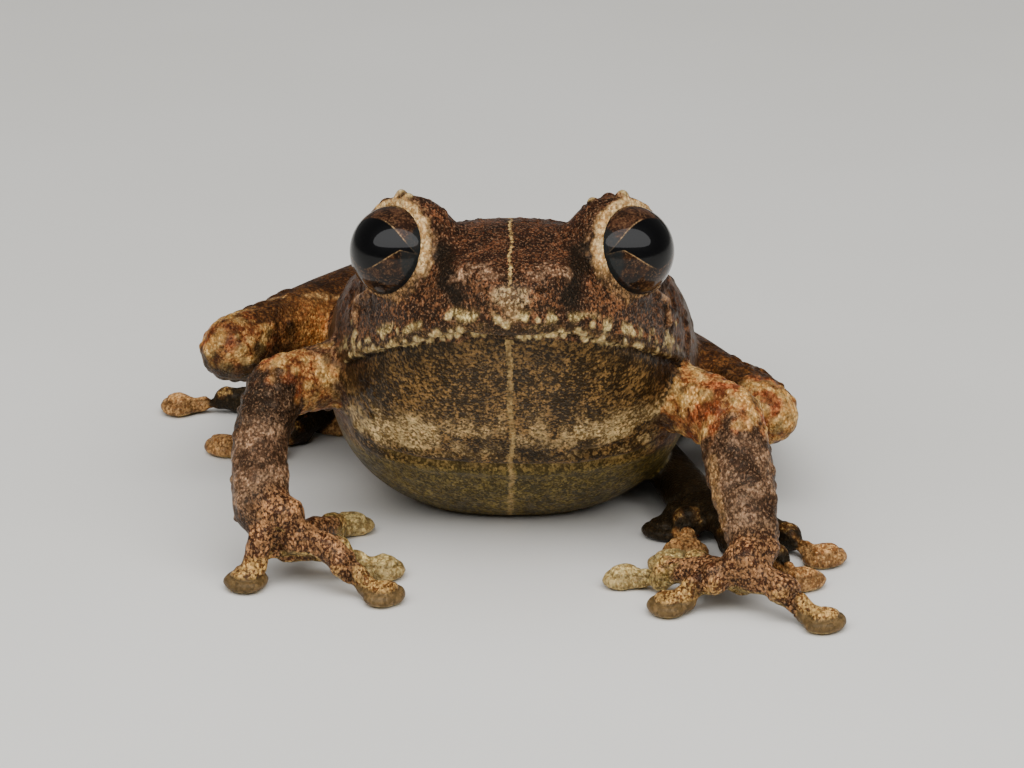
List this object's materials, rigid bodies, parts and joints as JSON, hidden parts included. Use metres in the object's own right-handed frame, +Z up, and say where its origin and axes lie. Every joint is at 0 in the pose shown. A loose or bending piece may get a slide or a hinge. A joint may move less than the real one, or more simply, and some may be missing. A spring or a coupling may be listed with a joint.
{
  "type": "tree frog model",
  "caption": "Life-size still model of a small brown tree frog, sitting with head raised, belly down and round-padded fingers and toes spread on the floor.",
  "frame": {"origin": "centre of the overall box in plan, on the floor that the belly and the finger and toe pads rest on", "axes": "+Z up, +Y from the snout to the vent, +X the frog's own left"},
  "size_m": [0.0272, 0.0318, 0.0144],
  "materials": {
    "trunk_skin": "moist granular skin, dark brown above, mottled olive and cream below",
    "head_skin": "moist granular skin, dark brown with cream granules along the lip and eyelids",
    "throat_skin": "moist skin, olive brown with a pale midline and cream mottling",
    "limb_skin": "moist skin, grey-brown with orange and cream warts",
    "digit_skin": "moist speckled skin with paler, slightly clear pads",
    "eye": "wet gloss over a coppery iris and a wide black pupil"
  },
  "bodies": {
    "root": {"trunk": "trunk_skin", "head": "head_skin", "lower_jaw": "throat_skin", "eye_left": "eye", "eye_right": "eye", "upper_arm_left": "limb_skin", "forearm_left": "limb_skin", "hand_left": "limb_skin", "finger_1_left": "digit_skin", "finger_2_left": "digit_skin", "finger_3_left": "digit_skin", "finger_4_left": "digit_skin", "thigh_left": "limb_skin", "shank_left": "limb_skin", "tarsus_left": "limb_skin", "foot_left": "limb_skin", "toe_1_left": "digit_skin", "toe_2_left": "digit_skin", "toe_3_left": "digit_skin", "toe_4_left": "digit_skin", "toe_5_left": "digit_skin", "upper_arm_right": "limb_skin", "forearm_right": "limb_skin", "hand_right": "limb_skin", "finger_1_right": "digit_skin", "finger_2_right": "digit_skin", "finger_3_right": "digit_skin", "finger_4_right": "digit_skin", "thigh_right": "limb_skin", "shank_right": "limb_skin", "tarsus_right": "limb_skin", "foot_right": "limb_skin", "toe_1_right": "digit_skin", "toe_2_right": "digit_skin", "toe_3_right": "digit_skin", "toe_4_right": "digit_skin", "toe_5_right": "digit_skin"}
  },
  "joints": []
}
